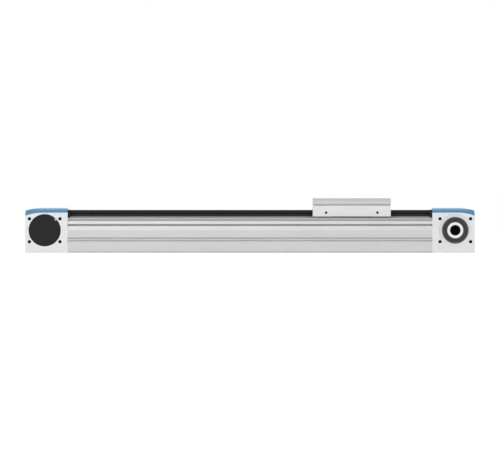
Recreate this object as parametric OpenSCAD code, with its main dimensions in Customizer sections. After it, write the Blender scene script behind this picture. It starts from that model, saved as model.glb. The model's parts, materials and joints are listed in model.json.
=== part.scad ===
/* [Axis] */
// Length of the extruded profile between the two end caps
profile_l = 430; // [310:10:900]
// Width of the profile and of the end caps
axis_w = 69; // [67:1:80]
// Height of the deck, the top of the profile, above the base
deck_z = 41; // [40.8:0.1:41.4]
// Length of each end cap along the axis
cap_l = 50; // [50:1:70]
// Height of each end cap under its top cover
cap_h = 47; // [46.8:0.1:48]
// Height of the pulley shafts above the base
shaft_z = 26.3; // [26:0.1:26.6]
// Distance from the outer end of a cap to its shaft
shaft_inset = 23; // [22:1:30]
// Place of the slide along the axis, measured from the middle
slide_x = 120; // [-150:15:150]

/* [Belt drive] */
// Width of the belt
belt_w = 15; // [9:1:15]
// Thickness of the belt from its tooth roots to its back
belt_t = 1.2; // [1.1:0.1:1.3]
// Height of the belt teeth
tooth_h = 1.17; // [1:0.01:1.2]
// Radius of the idler roller
idler_r = 4.8; // [4.4:0.1:5]
// Distance of the idler from the inner face of its cap
idler_inset = 9; // [8:1:10]
// Thickness of each pulley flange
flange_t = 1; // [0.6:0.1:1.4]
// Diameter of the bore through each hollow shaft
shaft_bore_d = 12.5; // [8:0.5:14]

/* [Bearings] */
// Outer diameter of the bearings
bearing_d = 32; // [31:0.5:33]
// Width of the bearings
bearing_w = 7; // [6.5:0.1:7]
// Diameter of the shaft in the bearings
shaft_d = 20; // [20:0.1:20.4]
// Diameter of a bearing ball
bearing_ball_d = 3.2; // [3:0.1:3.3]
// Number of balls in each bearing
bearing_balls_n = 12; // [8:1:13]

/* [Rail and slide] */
// Width of the guide rail
rail_w = 30; // [29:0.5:31]
// Height of the guide rail
rail_h = 11.3; // [11.3:0.1:11.6]
// How deep the rail is let into the deck
rail_sunk = 2.5; // [2:0.1:2.8]
// Distance between the screws of the guide rail
rail_screw_step = 60; // [40:5:120]
// Length of the slide
slide_l = 92; // [88:1:130]
// Width of the slide across its skirts
slide_w = 54; // [54:1:60]
// Thickness of the top plate of the slide
plate_t = 7.4; // [5.5:0.1:12]
// Spacing of the threaded holes on top of the slide
plate_hole_step = 40; // [38:1:42]
// Diameter of a ball in the slide
ball_d = 3; // [2.8:0.1:3]
// Length of a ball cassette
cassette_l = 47; // [40:1:49]

/* [Fasteners and seats] */
// Diameter of the centring seat in the end caps
seat_d = 38; // [37:0.5:38.5]
// Depth of the centring seat
seat_depth = 2.5; // [2:0.1:3]
// Spacing along the axis of the threaded holes round a shaft
corner_dx = 36; // [35:1:38]
// Spacing along the axis of the threaded holes on the rear side
rear_corner_dx = 38; // [37:0.5:39]
// Spacing in height of the threaded holes round a shaft
corner_dz = 27; // [26:0.5:28]
// Diameter of the threaded holes round a shaft
corner_d = 4; // [3:0.1:4.2]
// Spacing along the axis of the threaded holes under a cap
foot_dx = 20; // [18:1:22]
// Spacing across the axis of the threaded holes under a cap
foot_dy = 36; // [32:1:38]
// Thickness of the rubber end buffers
buffer_t = 2.5; // [2:0.5:6]

/* [Hidden] */
$fn = 48;

// Tooth pitch of the belt, fixed by its tooth form, and number of grooves in each pulley
pitch = 3;
grooves = 26;

// Small clearances, shared by all pieces
fit = 0.02;
play = 0.05;
run_gap = 0.3;
cut = 1;

// Heights that follow from the deck and the rail
half_w = axis_w / 2;
rail_base_z = deck_z - rail_sunk;
rail_top_z = rail_base_z + rail_h;
rail_channel_depth = 5.5;
rail_floor_z = rail_top_z - rail_channel_depth;
rail_seat_z = rail_floor_z - 4.2;
rail_wall = 3.5;
channel_half = rail_w / 2 - rail_wall;
belt_proud = 0.5;
belt_back_z = rail_top_z + belt_proud;
belt_land_z = belt_back_z - belt_t;
belt_tip_z = belt_land_z - tooth_h;

// Belt path: pulleys, idlers and the lines between them
pitch_line = 0.381;
pulley_r = pitch * grooves / (2 * PI);
back_off = belt_t - pitch_line;
land_off = -pitch_line;
tip_off = -pitch_line - tooth_h;
idler_gap = 0.2;
idler_path_r = idler_r + idler_gap + tooth_h + pitch_line;
end_x = profile_l / 2;
pulley_x = end_x + cap_l - shaft_inset;
idler_x = end_x + idler_inset;
idler_z = belt_tip_z - idler_gap - idler_r;
shaft_local = cap_l - shaft_inset;
link_dx = pulley_x - idler_x;
link_dz = shaft_z - idler_z;
link_d = norm([link_dx, link_dz]);
link_turn = acos((idler_path_r - pulley_r) / link_d) + atan2(link_dz, link_dx);
idler_arc = idler_path_r * (90 - link_turn) * PI / 180;
link_l = sqrt(link_d ^ 2 - (pulley_r - idler_path_r) ^ 2);
pulley_arc = pulley_r * (90 + link_turn) * PI / 180;
bottom_s = idler_arc + link_l + pulley_arc;
half_loop = bottom_s + pulley_x;
tooth_root_w = 1.8;
tooth_tip_w = 1.1;
belt_joint = 0.2;
start_s = slide_x + belt_joint / 2 - idler_x;
end_s = 2 * half_loop + idler_x + slide_x - belt_joint / 2;

// Pulley sizes
rim_gap = 0.28;
root_gap = 0.25;
flank_gap = 0.1;
rim_r = pulley_r - pitch_line - rim_gap;
root_r = pulley_r - pitch_line - tooth_h - root_gap;
rim_half = belt_w / 2 + 0.7;
flange_r = pulley_r + back_off + 0.6;
// How far past its lowest point the first tooth lies on the return pulley
late = ceil(2 * pulley_x / pitch) * pitch - 2 * pulley_x;
return_phase = late / pulley_r * 180 / PI;

// Bearing sizes
seat_floor = half_w - seat_depth;
bearing_in = seat_floor - bearing_w;
ball_ring_r = (bearing_d + shaft_d) / 4;
shoulder_gap = 1;
seal_t = 0.5;
seal_inset = 0.15;
seal_seat = 0.6;
wide_lip_gap = 0.3;
inner_ring_set = seal_t + seal_inset + 0.25;
shaft_clear_r = shaft_d / 2 + run_gap;

// End cap sizes
crown_in = 20;
crown_drop = 3.6;
crown_r = (crown_in ^ 2 + crown_drop ^ 2) / (2 * crown_drop);
crown_x = cap_l - crown_in;
cover_wall = 1.5;
cover_clear = 0.8;
cover_top_z = belt_back_z + cover_clear + cover_wall;
cover_lean = 1;
cover_edge_r = 4;
cavity_half = rim_half + flange_t + 1.3;
cavity_r = flange_r + 1;
upper_screw_y = 19.5;
upper_screw_z = 38.9;
upper_screw_d = 4;
upper_head_d = 7;
upper_head_h = 4;
lower_screw_y = 27;
lower_screw_z = 5.5;
lower_screw_d = 5;
lower_head_d = 8.5;
lower_head_h = 5;
screw_grip = 22;
hole_clear = 0.1;
corner_depth = 8;
cap_play = 0.1;
foot_d = 4.2;
foot_depth = 9;
foot_inset = 20;
foot_x = cap_l - foot_inset;
axle_r = 2;
axle_half = cavity_half + 6;
cover_screw_inset = [4.5, 11.5];
cover_screw_x = [cover_screw_inset[0], cap_l - cover_screw_inset[1]];
cover_screw_y = half_w - 7;
cover_screw_d = 3;
cover_screw_z = cap_h - 4.5;
stud_r = 1.5;
stud_l = 5;
stud_clear = 0.5;
stud_inset = 4;
stud_y = min(slide_w / 2, cover_screw_y - stud_clear) - stud_inset;
stud_z = 44;

// Profile section sizes
belt_channel_half = belt_w / 2 + 3;
belt_channel_z0 = shaft_z - pulley_r - back_off - 1.8;
belt_channel_z1 = belt_channel_z0 + 7.2;
slot_y = 18;
slot_mouth = 5.2;
slot_lip = 2.4;
slot_w = 9.2;
slot_top = 6;
groove_z0 = 12.4;
groove_z1 = 18.3;
groove_depth = 2.2;
groove_land_w = 1.4;
groove_land_in = 0.5;
face_set = 1.5;
base_bevel = 1;
bevel_z0 = 26.6;
bevel_z1 = 31.3;
ledge_z = 37.2;
ledge_lean = 0.5;
lip_z = 40.4;
undercut = 1.7;
sensor_z = 32.45;
sensor_mouth = 2.3;
sensor_r = 2.1;
web_z = rail_base_z - 6;
screw_channel_w = 2.2;
rail_screw_r = 2;
rail_head_r = 3.5;
rail_head_h = 4;
rail_head_room = 0.2;

// Slide sizes
skirt_z = deck_z + 1.2;
skirt_bevel = 0.4;
plate_edge = 0.3;
plate_line_d = 0.5;
tunnel_half = rail_w / 2 + 0.6;
ceiling_z = belt_back_z + run_gap;
body_top_z = ceiling_z + 6.6;
neck_h = 2.2;
neck_inset = 3.2;
plate_w = slide_w - 0.8;
ball_r = ball_d / 2;
track_r = ball_r + 0.1;
ball_lift = 4.5;
ball_z = deck_z + ball_lift;
ball_y = rail_w / 2 + 0.9;
turn_r = 2.05;
return_y = ball_y + 2 * turn_r;
cassette_in = rail_w / 2 + 0.4;
cassette_w = 7.2;
cassette_out = cassette_in + cassette_w;
cassette_z0 = deck_z + 0.6;
cassette_h = 11.4;
cassette_z1 = cassette_z0 + cassette_h;
foot_step_y = rail_w / 2 + 2.2;
foot_step_z = deck_z + 2.4;
cassette_screw_d = 3;
cassette_screw_dx = 15;
cassette_head_d = 5.5;
cassette_head_h = 2;
cassette_head_deep = 2.1;
cassette_screw_floor = 1;
screw_tip_gap = 0.2;
cassette_end_t = 2.3;
track_half = cassette_l / 2 - turn_r - track_r - cassette_end_t;
strip_in = ball_y + 0.1;
strip_out = return_y - track_r - 0.25;
strip_h = 4.4;
track_len = 4 * track_half + 2 * PI * turn_r;
balls_n = floor(track_len / (ball_d + 0.05));
clamp_l = 15;
clamp_out = slide_l / 2 - 3;
clamp_half = channel_half - run_gap;
clamp_z0 = rail_floor_z + 0.6;
clamp_cheek = belt_w / 2 + 0.3;
clamp_screw_d = 2.5;
clamp_head_d = 4.5;
clamp_head_h = 2.5;
clamp_head_deep = 2.6;
clamp_screw_y = (clamp_cheek + clamp_half) / 2;
clamp_tooth_gap = 0.15;
wiper_t = 2;
wiper_half = slide_w / 2 - 4;
wiper_z1 = ceiling_z + 4;
wiper_screw_inset = 3.5;
wiper_screw_y = wiper_half - wiper_screw_inset;
wiper_screw_l = 5;
nipple_d = 3;
nipple_dx = 60.5;
nipple_z = skirt_z + 4.9;
nipple_l = 5;
plate_screw_x = slide_l / 2 - 8;
plate_screw_y = 18;

// ---------- helpers ----------

module along_x(l) {
    rotate([90, 0, 90]) linear_extrude(l, center = true) children();
}

module along_y(l) {
    rotate([90, 0, 0]) linear_extrude(l, center = true) children();
}

module rod_x(r, x0, x1, y, z) {
    translate([x0, y, z]) rotate([0, 90, 0]) cylinder(r = r, h = x1 - x0);
}

module rod_y(r, y0, y1, x, z) {
    translate([x, y0, z]) rotate([-90, 0, 0]) cylinder(r = r, h = y1 - y0);
}

module rod_z(r, z0, z1, x, y) {
    translate([x, y, z0]) cylinder(r = r, h = z1 - z0);
}

module block(x0, x1, y0, y1, z0, z1) {
    translate([x0, y0, z0]) cube([x1 - x0, y1 - y0, z1 - z0]);
}

module both_sides() {
    children();
    mirror([0, 1, 0]) children();
}

// Rectangle from corner to corner with round corners
module round_rect(x0, x1, y0, y1, r) {
    translate([x0 + r, y0]) square([x1 - x0 - 2 * r, y1 - y0]);
    translate([x0, y0 + r]) square([x1 - x0, y1 - y0 - 2 * r]);
    for (x = [x0 + r, x1 - r], y = [y0 + r, y1 - r])
        translate([x, y]) circle(r = r);
}

// Cap screw along Z: its head stands on z = 0, its shank hangs below
module cap_screw(d, l, head_d, head_h) {
    difference() {
        union() {
            translate([0, 0, -l]) cylinder(d = d, h = l);
            cylinder(d = head_d, h = head_h);
        }
        translate([0, 0, head_h * 0.4]) cylinder(d = d * 0.95, h = head_h, $fn = 6);
    }
}

// Countersunk screw along Z, its top flush with z = 0
module flat_screw(d, l) {
    difference() {
        union() {
            translate([0, 0, -l]) cylinder(d = d, h = l);
            translate([0, 0, -d / 2]) cylinder(r1 = d / 2, r2 = d, h = d / 2);
        }
        translate([0, 0, -d * 0.4]) cylinder(d = d * 0.7, h = d, $fn = 6);
    }
}

// Each end is modelled from the inner face of its cap at x = 0 outwards
module at_drive() {
    translate([end_x, 0, 0]) children();
}

module at_return() {
    mirror([1, 0, 0]) translate([end_x, 0, 0]) children();
}

module on_shaft() {
    translate([shaft_local, 0, shaft_z]) rotate([-90, 0, 0]) children();
}

module on_idler() {
    translate([idler_inset, 0, idler_z]) rotate([-90, 0, 0]) children();
}

module on_slide() {
    translate([slide_x, 0, 0]) children();
}

// ---------- profile and rail ----------

// Points of the right half of an outline, then the same points seen in a mirror
function both_halves(points) =
    concat(points, [for (i = [len(points) - 1 : -1 : 0]) [-points[i][0], points[i][1]]]);

module profile_outline() {
    face = half_w - face_set;
    polygon(both_halves([
        [half_w - base_bevel, 0], [half_w, base_bevel],
        [half_w, bevel_z0], [face, bevel_z1], [face, sensor_z + sensor_mouth / 2],
        [face - ledge_lean, ledge_z], [face - undercut, ledge_z + 0.3],
        [face - ledge_lean, lip_z], [face - ledge_lean, deck_z - 0.3], [face - ledge_lean - 0.3, deck_z]
    ]));
}

module side_groove() {
    floor_y = half_w - groove_depth;
    land_y = half_w - groove_land_in;
    mid_z = (groove_z0 + groove_z1) / 2;
    polygon([
        [half_w + cut, groove_z0], [half_w - 0.6, groove_z0],
        [floor_y, groove_z0 - 1], [floor_y, mid_z - groove_land_w],
        [land_y, mid_z - groove_land_w / 2], [land_y, mid_z + groove_land_w / 2],
        [floor_y, mid_z + groove_land_w], [floor_y, groove_z1 + 1],
        [half_w - 0.6, groove_z1], [half_w + cut, groove_z1]
    ]);
}

module base_slot() {
    translate([slot_y - slot_mouth / 2, -cut]) square([slot_mouth, slot_lip + 2 * cut]);
    polygon([
        [slot_y - slot_w / 2, slot_lip], [slot_y + slot_w / 2, slot_lip],
        [slot_y + slot_w / 2, slot_top - 1.5], [slot_y + slot_w / 2 - 1.5, slot_top],
        [slot_y - slot_w / 2 + 1.5, slot_top], [slot_y - slot_w / 2, slot_top - 1.5]
    ]);
}

module sensor_slot() {
    translate([half_w - 4, sensor_z]) circle(r = sensor_r);
    translate([half_w - 4, sensor_z - sensor_mouth / 2]) square([5, sensor_mouth]);
}

module profile_half_cuts() {
    side_groove();
    base_slot();
    sensor_slot();
    translate([-cut, rail_base_z]) square([rail_w / 2 + cut + fit, rail_h]);
    translate([upper_screw_y, upper_screw_z]) circle(d = upper_screw_d);
    translate([upper_screw_y - screw_channel_w / 2, upper_screw_z]) square([screw_channel_w, deck_z]);
    translate([lower_screw_y, lower_screw_z]) circle(d = lower_screw_d);
    round_rect(1.2, half_w - 8.5, belt_channel_z1 + 2.5, web_z, 1.5);
    round_rect(belt_channel_half + 2, half_w - 5.5, slot_top + 3.2, belt_channel_z1, 1.5);
}

module profile() {
    color([0.80, 0.80, 0.81]) difference() {
        along_x(profile_l) difference() {
            profile_outline();
            profile_half_cuts();
            mirror([1, 0]) profile_half_cuts();
            round_rect(-belt_channel_half, belt_channel_half, belt_channel_z0, belt_channel_z1, 1);
        }
        for (x = rail_screw_places())
            rod_z(rail_screw_r, web_z - cut, rail_base_z + cut, x, 0);
    }
}

function rail_screw_places() =
    let (n = floor((end_x - 12) / rail_screw_step))
    [for (i = [-n : n]) i * rail_screw_step];

module rail_outline() {
    edge = rail_w / 2;
    foot_top = deck_z + 0.5;
    polygon(both_halves([
        [edge, rail_base_z], [edge, deck_z], [edge + 1.8, deck_z],
        [edge + 1.8, foot_top], [edge, foot_top + 1.6], [edge, rail_top_z - 0.4],
        [edge - 0.4, rail_top_z], [channel_half + 0.4, rail_top_z],
        [channel_half, rail_top_z - 0.4], [channel_half, rail_floor_z]
    ]));
}

module guide_rail() {
    color([0.14, 0.14, 0.15]) difference() {
        along_x(profile_l) difference() {
            rail_outline();
            for (s = [-1, 1])
                translate([s * ball_y, ball_z]) circle(r = track_r);
        }
        for (x = rail_screw_places()) {
            rod_z(rail_head_r + rail_head_room, rail_seat_z, rail_top_z, x, 0);
            rod_z(rail_screw_r + hole_clear, rail_base_z - cut, rail_top_z, x, 0);
        }
    }
}

module rail_screws() {
    color([0.45, 0.45, 0.47])
        for (x = rail_screw_places())
            translate([x, 0, rail_seat_z])
                cap_screw(2 * rail_screw_r - 2 * fit, rail_seat_z - web_z - 1, 2 * rail_head_r, rail_head_h);
}

// ---------- belt ----------

function polar(r, a) = [r * cos(a), r * sin(a)];

// Point of the right half of the loop at path length s, set outwards by off
function right_point(s, off) =
    s < 0 ? [idler_x + s, idler_z + idler_path_r + off]
    : s < idler_arc ? [idler_x, idler_z] + polar(idler_path_r + off, 90 - s / idler_path_r * 180 / PI)
    : s < idler_arc + link_l
        ? [idler_x, idler_z] + polar(idler_path_r + off, link_turn)
            + polar(s - idler_arc, link_turn - 90)
    : s < bottom_s
        ? [pulley_x, shaft_z] + polar(pulley_r + off, (bottom_s - s) / pulley_r * 180 / PI - 90)
    : [pulley_x - (s - bottom_s), shaft_z - pulley_r - off];

// Point of the whole loop: the left half is the right one seen in a mirror
function loop_point(s, off) =
    s <= half_loop ? right_point(s, off)
    : let (p = right_point(2 * half_loop - s, off)) [-p[0], p[1]];

function tooth_points(s) = [
    loop_point(s - tooth_root_w / 2, land_off), loop_point(s - tooth_tip_w / 2, tip_off),
    loop_point(s + tooth_tip_w / 2, tip_off), loop_point(s + tooth_root_w / 2, land_off)
];

// The back needs points only where the belt bends
function bend_places() = [
    for (i = [0 : 4]) idler_arc * i / 4,
    for (i = [0 : 24]) idler_arc + link_l + pulley_arc * i / 24
];

function back_points() =
    let (bends = bend_places(), n = len(bends))
    [
        loop_point(start_s, back_off),
        for (s = bends) loop_point(s, back_off),
        for (i = [n - 1 : -1 : 0]) loop_point(2 * half_loop - bends[i], back_off),
        loop_point(end_s, back_off)
    ];

// Teeth are counted from the lowest point of the drive pulley
module toothed_belt() {
    first = ceil((start_s + tooth_root_w - bottom_s) / pitch);
    last = floor((end_s - tooth_root_w - bottom_s) / pitch);
    teeth = [for (k = [last : -1 : first]) each
        let (t = tooth_points(bottom_s + k * pitch)) [t[3], t[2], t[1], t[0]]];
    color([0.12, 0.12, 0.13]) along_y(belt_w) polygon(concat(
        back_points(),
        [loop_point(end_s, land_off)],
        teeth,
        [loop_point(start_s, land_off)]
    ));
}

// Places along X of the belt's teeth under the slide, for each free end
function right_teeth(x0, x1) =
    let (k0 = ceil((x0 - idler_x - bottom_s) / pitch), k1 = floor((x1 - idler_x - bottom_s) / pitch))
    [for (k = [k0 : k1]) idler_x + bottom_s + k * pitch];

function left_teeth(x0, x1) =
    let (zero = bottom_s - idler_x - 2 * half_loop)
    let (k0 = ceil((x0 - zero) / pitch), k1 = floor((x1 - zero) / pitch))
    [for (k = [k0 : k1]) zero + k * pitch];

// ---------- pulleys, idlers and bearings ----------

module groove_outline() {
    root_half = tooth_tip_w / 2 + flank_gap;
    mouth_half = tooth_root_w / 2 + flank_gap;
    polygon([
        [root_r, -root_half], [rim_r + cut, -mouth_half - 0.3],
        [rim_r + cut, mouth_half + 0.3], [root_r, root_half]
    ]);
}

module pulley(phase) {
    color([0.86, 0.86, 0.87]) on_shaft() difference() {
        union() {
            cylinder(d = shaft_d - 2 * fit, h = 2 * seat_floor, center = true);
            linear_extrude(2 * rim_half, center = true) difference() {
                circle(r = rim_r);
                for (i = [0 : grooves - 1])
                    rotate(90 + phase + i * 360 / grooves) groove_outline();
            }
        }
        cylinder(d = shaft_bore_d, h = axis_w, center = true);
    }
}

module pulley_flanges() {
    color([0.72, 0.72, 0.74]) on_shaft()
        for (s = [-1, 1])
            translate([0, 0, s * (rim_half + flange_t / 2)]) difference() {
                cylinder(r = flange_r, h = flange_t, center = true);
                cylinder(d = shaft_d, h = flange_t + cut, center = true);
            }
}

// One bearing part, revolved, at each end of the shaft; z runs outwards from its inner face
module bearing_pair() {
    on_shaft() {
        translate([0, 0, bearing_in]) children();
        mirror([0, 0, 1]) translate([0, 0, bearing_in]) children();
    }
}

module ring_groove() {
    translate([ball_ring_r, bearing_w / 2]) circle(d = bearing_ball_d + 0.1);
}

module bearing_outer_rings() {
    color([0.62, 0.63, 0.65]) bearing_pair() rotate_extrude() difference() {
        translate([ball_ring_r + shoulder_gap, 0])
            square([bearing_d / 2 - fit - ball_ring_r - shoulder_gap, bearing_w]);
        ring_groove();
        for (y = [-cut, bearing_w - seal_t - seal_inset])
            translate([ball_ring_r, y])
                square([shoulder_gap + seal_seat, cut + seal_t + seal_inset]);
    }
}

module bearing_inner_rings() {
    color([0.66, 0.67, 0.69]) bearing_pair() rotate_extrude() difference() {
        translate([shaft_d / 2, run_gap])
            square([ball_ring_r - shoulder_gap - shaft_d / 2, bearing_w - inner_ring_set - run_gap]);
        ring_groove();
    }
}

module bearing_seals() {
    color([0.20, 0.20, 0.21]) bearing_pair() {
        lip_r = shaft_d / 2 + wide_lip_gap;
        outer_r = ball_ring_r + shoulder_gap + seal_seat - fit;
        translate([0, 0, bearing_w - seal_t - seal_inset]) difference() {
            cylinder(r = outer_r, h = seal_t);
            translate([0, 0, -cut]) cylinder(r = lip_r, h = seal_t + 2 * cut);
        }
        translate([0, 0, seal_inset]) difference() {
            cylinder(r = outer_r, h = seal_t);
            translate([0, 0, -cut]) cylinder(r = ball_ring_r - shoulder_gap + run_gap, h = seal_t + 2 * cut);
        }
    }
}

module bearing_balls() {
    color([0.8, 0.8, 0.82]) bearing_pair()
        for (i = [0 : bearing_balls_n - 1])
            rotate(i * 360 / bearing_balls_n)
                translate([ball_ring_r, 0, bearing_w / 2]) sphere(d = bearing_ball_d);
}

module bearing_cages() {
    color([0.75, 0.65, 0.35]) bearing_pair() difference() {
        translate([0, 0, bearing_w / 2]) difference() {
            cylinder(r = ball_ring_r + 0.65, h = 3.9, center = true);
            cylinder(r = ball_ring_r - 0.65, h = 3.9 + cut, center = true);
        }
        for (i = [0 : bearing_balls_n - 1])
            rotate(i * 360 / bearing_balls_n) translate([ball_ring_r - 2, 0, bearing_w / 2])
                rotate([0, 90, 0]) cylinder(d = bearing_ball_d + 0.2, h = 4);
    }
}

module idler_axle() {
    color([0.7, 0.7, 0.72]) on_idler() cylinder(r = axle_r, h = 2 * axle_half, center = true);
}

module idler_bush() {
    color([0.72, 0.55, 0.28]) on_idler() difference() {
        cylinder(r = axle_r + 1, h = 2 * rim_half, center = true);
        cylinder(r = axle_r + play, h = 2 * rim_half + cut, center = true);
    }
}

module idler_roller() {
    color([0.8, 0.8, 0.82]) on_idler() difference() {
        union() {
            cylinder(r = idler_r, h = 2 * rim_half, center = true);
            for (s = [-1, 1])
                translate([0, 0, s * (rim_half + 0.5)]) cylinder(r = idler_r - 0.8, h = 1, center = true);
        }
        cylinder(r = axle_r + 1 + fit, h = 4 * rim_half, center = true);
    }
}

// ---------- end caps ----------

// Side view of a cap: flat on top, its outer end falling in an arc
module cap_outline(top, drop_r) {
    difference() {
        square([cap_l, top]);
        difference() {
            translate([crown_x, cap_h - crown_r]) square([crown_in + cut, crown_r + 2 * cut + top - cap_h]);
            translate([crown_x, cap_h - crown_r]) circle(r = drop_r);
        }
    }
}

// Room for the belt, the idler and the pulley flanges
module cavity_outline() {
    idler_room = idler_path_r + back_off + 1.2;
    pulley_room = idler_room + pulley_r - idler_path_r;
    translate([-cut, belt_channel_z0]) square([shaft_local + cut, cap_h]);
    translate([shaft_local, shaft_z]) circle(r = cavity_r);
    translate([shaft_local, shaft_z]) polygon([
        [0, 0],
        polar(pulley_room, link_turn),
        [idler_inset - shaft_local, idler_z - shaft_z] + polar(idler_room, link_turn),
        [idler_inset - shaft_local, idler_z - shaft_z + idler_room],
        [idler_inset - shaft_local, 0]
    ]);
}

module corner_places(spacing) {
    for (dx = [-0.5, 0.5], dz = [-0.5, 0.5])
        translate([shaft_local + dx * spacing, 0, shaft_z + dz * corner_dz]) children();
}

module cap_screw_holes() {
    for (s = [-1, 1]) {
        rod_x(upper_screw_d / 2 + hole_clear, -cut, cap_l + cut, s * upper_screw_y, upper_screw_z);
        rod_x(upper_head_d / 2 + hole_clear, cap_l - upper_head_h - 0.5, cap_l + cut,
            s * upper_screw_y, upper_screw_z);
        rod_x(lower_screw_d / 2 + hole_clear, -cut, cap_l + cut, s * lower_screw_y, lower_screw_z);
        rod_x(lower_head_d / 2 + hole_clear, cap_l - lower_head_h - 0.5, cap_l + cut,
            s * lower_screw_y, lower_screw_z);
    }
}

module end_cap() {
    color([0.89, 0.89, 0.90]) difference() {
        along_y(axis_w) cap_outline(cap_h, crown_r);
        both_sides() {
            rod_y(seat_d / 2, seat_floor, half_w + cut, shaft_local, shaft_z);
            rod_y(bearing_d / 2, bearing_in, seat_floor + cut, shaft_local, shaft_z);
            rod_x(stud_r + play, -cut, stud_l, stud_y, stud_z);
            for (x = cover_screw_x)
                rod_z(cover_screw_d / 2, cover_screw_z, cap_h + cut, x, cover_screw_y);
            for (dx = [0, foot_dx])
                rod_z(foot_d / 2, -cut, foot_depth, foot_x - foot_dx / 2 + dx, foot_dy / 2);
        }
        corner_places(corner_dx) rod_y(corner_d / 2, -half_w - cut, corner_depth - half_w, 0, 0);
        corner_places(rear_corner_dx) rod_y(corner_d / 2, half_w - corner_depth, half_w + cut, 0, 0);
        rod_y(shaft_clear_r, -seat_floor, seat_floor, shaft_local, shaft_z);
        along_y(2 * cavity_half) cavity_outline();
        rod_y(axle_r + fit, -axle_half - 0.1, axle_half + 0.1, idler_inset, idler_z);
        block(idler_inset - axle_r - fit, idler_inset + axle_r + fit,
            -axle_half - 0.1, axle_half + 0.1, idler_z, cap_h + cut);
        cap_screw_holes();
    }
}

module cap_screws() {
    color([0.35, 0.35, 0.37]) for (s = [-1, 1]) {
        translate([cap_l - upper_head_h - 0.5, s * upper_screw_y, upper_screw_z]) rotate([0, 90, 0])
            cap_screw(upper_screw_d - 2 * fit, cap_l + screw_grip, upper_head_d, upper_head_h);
        translate([cap_l - lower_head_h - 0.5, s * lower_screw_y, lower_screw_z]) rotate([0, 90, 0])
            cap_screw(lower_screw_d - 2 * fit, cap_l + screw_grip, lower_head_d, lower_head_h);
    }
}

// The cover follows the cap's crown at one constant height above it
module cover_outline(inset) {
    rise = cover_top_z - cap_h;
    difference() {
        translate([inset, 0]) square([cap_l - 2 * inset, cover_top_z - inset]);
        difference() {
            translate([crown_x, cap_h - crown_r]) square([crown_in + cut, crown_r + rise + cut]);
            translate([crown_x, cap_h - crown_r]) circle(r = crown_r + rise - inset);
        }
        polygon([
            [cap_l - inset + cut, cap_h - crown_drop], [cap_l - inset, cap_h - crown_drop],
            [cap_l - inset - cover_lean, cover_top_z], [cap_l - inset + cut, cover_top_z]
        ]);
    }
}

module cover_section(inset) {
    edge_r = cover_edge_r - inset;
    top = cover_top_z - inset;
    half = half_w - inset;
    translate([-half, 0]) square([2 * half, top - edge_r]);
    translate([edge_r - half, 0]) square([2 * (half - edge_r), top]);
    for (s = [-1, 1])
        translate([s * (half - edge_r), top - edge_r]) circle(r = edge_r);
}

module cover_solid(inset) {
    intersection() {
        along_y(axis_w) cover_outline(inset);
        translate([cap_l / 2, 0, 0]) along_x(cap_l) cover_section(inset);
    }
}

module top_cover() {
    boss_r = 3.4;
    pad_z = idler_z + axle_r + play;
    color([0.30, 0.58, 0.78]) difference() {
        union() {
            difference() {
                cover_solid(0);
                cover_solid(cover_wall);
            }
            intersection() {
                cover_solid(cover_wall / 2);
                union() {
                    both_sides() {
                        for (x = cover_screw_x)
                            rod_z(boss_r, 0, cover_top_z, x, cover_screw_y);
                        block(idler_inset - 3, idler_inset + 3, cavity_half + 1, axle_half,
                            0, cover_top_z);
                    }
                }
            }
        }
        difference() {
            translate([cap_l / 2, 0, 0]) along_y(axis_w + cut) translate([-cap_l / 2 - cut, -cut])
                square([cap_l + 2 * cut, cap_h + cut + play]);
            along_y(axis_w + 2 * cut) difference() {
                translate([crown_x, cap_h - crown_r]) square([crown_in + cut, crown_r + cut]);
                translate([crown_x, cap_h - crown_r]) circle(r = crown_r + play);
            }
            both_sides() block(idler_inset - axle_r + play, idler_inset + axle_r - play,
                cavity_half + 1, axle_half, pad_z, cap_h + cut);
        }
        block(-cut, cover_wall + cut, -belt_w / 2 - 1, belt_w / 2 + 1,
            cap_h - cut, belt_back_z + cover_clear);
        both_sides() for (x = cover_screw_x) {
            rod_z(cover_screw_d / 2 + hole_clear, 0, cover_top_z + cut, x, cover_screw_y);
            translate([x, cover_screw_y, cover_top_z - cover_screw_d / 2 - 1])
                cylinder(r1 = cover_screw_d / 2 + hole_clear, r2 = cover_screw_d + hole_clear,
                    h = cover_screw_d / 2);
            rod_z(cover_screw_d + hole_clear, cover_top_z - 1, cover_top_z + cut, x, cover_screw_y);
        }
    }
}

module cover_screws() {
    color([0.5, 0.5, 0.52]) both_sides() for (x = cover_screw_x)
        translate([x, cover_screw_y, cover_top_z - 1])
            flat_screw(cover_screw_d - 2 * fit, cover_top_z - 1 - cover_screw_z);
}

module buffer() {
    z1 = rail_top_z + 0.9;
    color([0.10, 0.10, 0.10]) both_sides() {
        translate([-buffer_t / 2, 0, 0]) along_x(buffer_t) polygon([
            [rail_w / 2 + 2, deck_z + fit], [slide_w / 2, deck_z + fit],
            [slide_w / 2, z1 - 2], [slide_w / 2 - 2, z1],
            [rail_w / 2 + run_gap, z1], [rail_w / 2 + run_gap, deck_z + 2.2], [rail_w / 2 + 2, deck_z + 1]
        ]);
        rod_x(stud_r, -cut, stud_l - play, stud_y, stud_z);
    }
}

// The disc stands clear of the turning shaft on a ring at its rim
module blanking_cap(notched) {
    thick = seat_depth - cap_play;
    color([0.19, 0.18, 0.19]) translate([shaft_local, seat_floor, shaft_z]) rotate([-90, 0, 0])
    difference() {
        cylinder(d = seat_d - 2 * cap_play, h = thick);
        translate([0, 0, -cut]) cylinder(d = bearing_d + 1.4, h = cut + 0.4);
        if (notched)
            rotate(225) translate([seat_d / 2 - 1, 0, 0])
                cube([2.4, 3.2, 2 * seat_depth + cut], center = true);
    }
}

// ---------- slide ----------

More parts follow.
